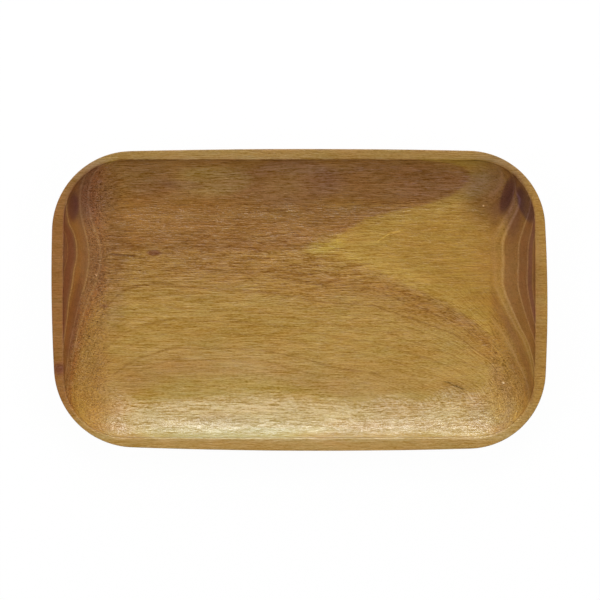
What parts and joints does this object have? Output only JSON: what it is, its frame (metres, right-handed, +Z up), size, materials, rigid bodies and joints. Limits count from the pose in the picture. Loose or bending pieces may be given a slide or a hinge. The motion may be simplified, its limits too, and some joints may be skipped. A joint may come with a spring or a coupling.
{
  "type": "tray",
  "caption": "Shallow rounded-rectangular tray carved from a single board of teak, with a flat rim, coved walls and a flat floor.",
  "frame": {"origin": "centre of the tray's outline, on the plane of the flat foot that it rests on", "axes": "+X along the length to the right end, +Y across the width to the back edge, +Z up out of the open dish"},
  "size_m": [0.23, 0.14, 0.02],
  "materials": {
    "teak": "oiled teak, open grain, satin"
  },
  "bodies": {
    "root": {"tray_body": "teak"}
  },
  "joints": []
}
